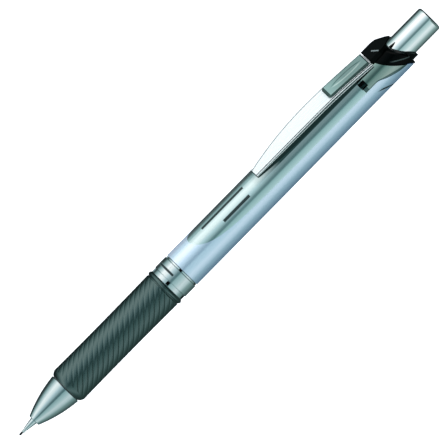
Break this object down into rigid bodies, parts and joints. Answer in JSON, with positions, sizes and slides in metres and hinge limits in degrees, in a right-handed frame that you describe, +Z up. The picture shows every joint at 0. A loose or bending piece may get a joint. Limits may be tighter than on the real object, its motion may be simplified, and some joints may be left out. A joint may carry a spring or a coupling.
{
  "type": "push-button lead holder",
  "caption": "Push-button lead holder lying on its clip, with a metal cone, ridged rubber grip, pearl barrel, black crown and chrome button.",
  "frame": {"origin": "on the table under the middle of the object's box, in the pose in which it lies at rest on its clip", "axes": "+X along the axis towards the lead's point, +Z up from the table; the clip points to -Y and a little down"},
  "size_m": [0.145, 0.0133, 0.0108],
  "materials": {
    "chrome_plate": "polished plating on the cone, button, ring and clip",
    "stainless": "drawn tube and spring wire",
    "brass": "turned, unplated",
    "grip_rubber": "soft matte rubber with a faint sheen",
    "barrel_pearl": "pearl blue with a teal panel behind the clip",
    "black_gloss": "gloss black moulding",
    "smoked_metal": "smoked plating on the clip's inlay and its saddle",
    "pale_plastic": "natural moulded plastic of the inner pieces",
    "grey_plastic": "grey moulded plastic of the frame pieces",
    "eraser_white": "soft white vinyl",
    "graphite": "polymer graphite lead",
    "retainer_rubber": "black rubber bush"
  },
  "bodies": {
    "barrel": {"grip_core": "grey_plastic", "thread_bush": "brass", "rubber_grip": "grip_rubber", "joint_ring": "chrome_plate", "rear_barrel": "barrel_pearl", "clip_saddle": "smoked_metal", "crown": "black_gloss", "guide_bush": "grey_plastic", "spring_housing": "pale_plastic", "chuck_spring": "stainless"},
    "tip": {"tip_cone": "chrome_plate", "lead_sleeve": "stainless", "lead_retainer": "retainer_rubber"},
    "plunger": {"chuck": "brass", "tank_coupling": "grey_plastic", "lead_tank": "pale_plastic", "spare_leads": "graphite"},
    "ring": {"clutch_ring": "brass"},
    "lead": {"writing_lead": "graphite"},
    "eraser": {"eraser": "eraser_white", "eraser_ferrule": "stainless"},
    "button": {"push_button": "chrome_plate"},
    "clip": {"clip": "chrome_plate", "clip_inlay": "smoked_metal"}
  },
  "joints": [
    {"name": "button_press", "type": "slide", "parent": "barrel", "child": "plunger", "axis": [1, 0, 0], "range_m": [0, 0.0032], "stiffness_N_per_m": 700, "springref_m": -0.004, "deforming": ["chuck_spring"]},
    {"name": "clutch_ring_slide", "type": "slide", "parent": "barrel", "child": "ring", "axis": [1, 0, 0], "range_m": [0, 0.0007]},
    {"name": "lead_advance", "type": "slide", "parent": "barrel", "child": "lead", "axis": [1, 0, 0], "range_m": [0, 0.0006]},
    {"name": "cone_removal", "type": "slide", "parent": "barrel", "child": "tip", "axis": [1, 0, 0], "range_m": [0, 0.01]},
    {"name": "eraser_removal", "type": "slide", "parent": "plunger", "child": "eraser", "axis": [-1, 0, 0], "range_m": [0, 0.012]},
    {"name": "button_removal", "type": "slide", "parent": "eraser", "child": "button", "axis": [-1, 0, 0], "range_m": [0, 0.015]},
    {"name": "clip_spring", "type": "hinge", "parent": "barrel", "child": "clip", "pos_m": [-0.0559, -0.00391, 0.00333], "axis": [0, 0.3778, -0.9259], "range_deg": [0, 3], "stiffness_Nm_per_rad": 4, "springref_deg": -0.57}
  ],
  "couplings": [
    {"joint": "clutch_ring_slide", "follows": "button_press", "ratio": 0.21875},
    {"joint": "lead_advance", "follows": "button_press", "ratio": 0.1875}
  ]
}
